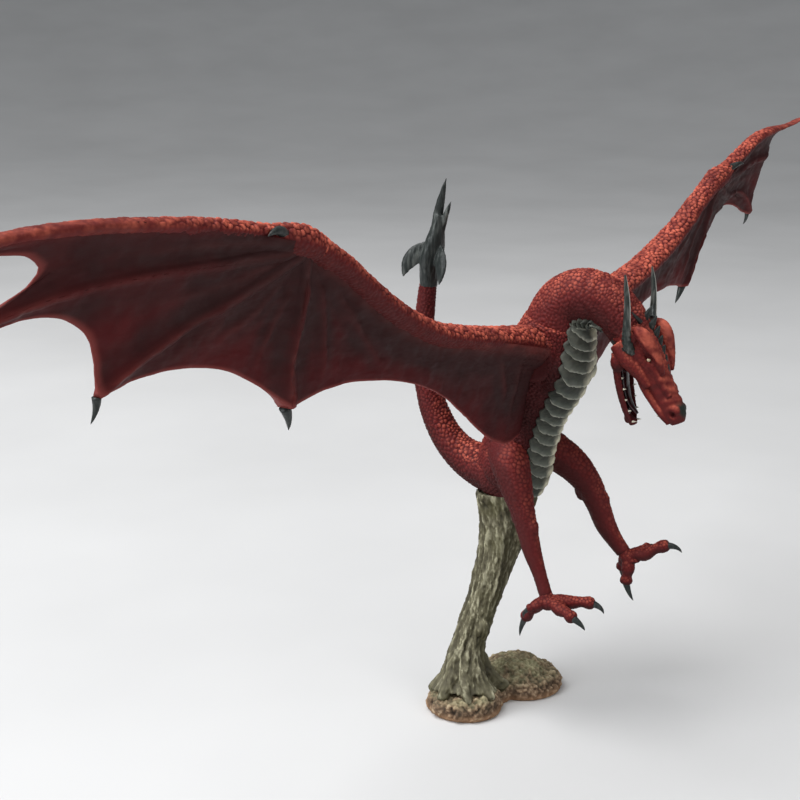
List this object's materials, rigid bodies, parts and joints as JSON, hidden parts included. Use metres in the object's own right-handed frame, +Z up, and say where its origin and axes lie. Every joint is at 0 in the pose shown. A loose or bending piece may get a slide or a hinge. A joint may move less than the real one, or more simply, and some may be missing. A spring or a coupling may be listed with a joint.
{
  "type": "painted miniature figure",
  "caption": "Painted two-legged dragon miniature with wide spread wings, perched on a dead tree trunk that stands on a small rock base.",
  "frame": {"origin": "on the flat underside of the ground plate, straight below the steel pin that carries the dragon", "axes": "+Z up; the dragon faces -Y; its left wing runs to +X and its right wing to -X"},
  "size_m": [0.4192, 0.078, 0.1434],
  "materials": {
    "rock": "matt hand-painted stone with green growth",
    "bark": "matt hand-painted dead wood, dry-brushed pale",
    "hide": "matt hand-painted red scales with orange highlights",
    "belly_plate": "matt hand-painted grey-green plates",
    "wing_skin": "matt hand-painted dark red wing skin",
    "horn": "satin hand-painted dark horn",
    "claw": "satin hand-painted dark claw",
    "mouth": "gloss-varnished dark mouth",
    "tooth": "satin hand-painted ivory",
    "eye": "gloss-varnished eye",
    "steel": "ground steel pin",
    "brass": "brass rod"
  },
  "bodies": {
    "stand": {"ground_plate": "rock", "tree_trunk": "bark", "carry_pin": "steel"},
    "figure": {"torso": "hide", "neck": "hide", "head": "hide", "lower_jaw": "hide", "right_horn": "horn", "left_horn": "horn", "neck_rod": "brass", "head_wire": "brass", "tail": "hide", "tail_blade": "horn", "tail_rod": "brass", "right_leg": "hide", "right_foot": "hide", "right_hip_rod": "brass", "right_ankle_wire": "brass", "left_leg": "hide", "left_foot": "hide", "left_hip_rod": "brass", "left_ankle_wire": "brass"},
    "right_wing": {"right_inner_wing": "wing_skin", "right_outer_wing": "wing_skin", "right_wrist_rod": "brass"},
    "left_wing": {"left_inner_wing": "wing_skin", "left_outer_wing": "wing_skin", "left_wrist_rod": "brass"}
  },
  "joints": [
    {"name": "figure_lift", "type": "slide", "parent": "stand", "child": "figure", "axis": [0, 0, 1], "range_m": [0, 0.0105]},
    {"name": "right_wing_unplug", "type": "slide", "parent": "figure", "child": "right_wing", "axis": [-1, 0, 0], "range_m": [0, 0.008]},
    {"name": "left_wing_unplug", "type": "slide", "parent": "figure", "child": "left_wing", "axis": [1, 0, 0], "range_m": [0, 0.008]}
  ]
}
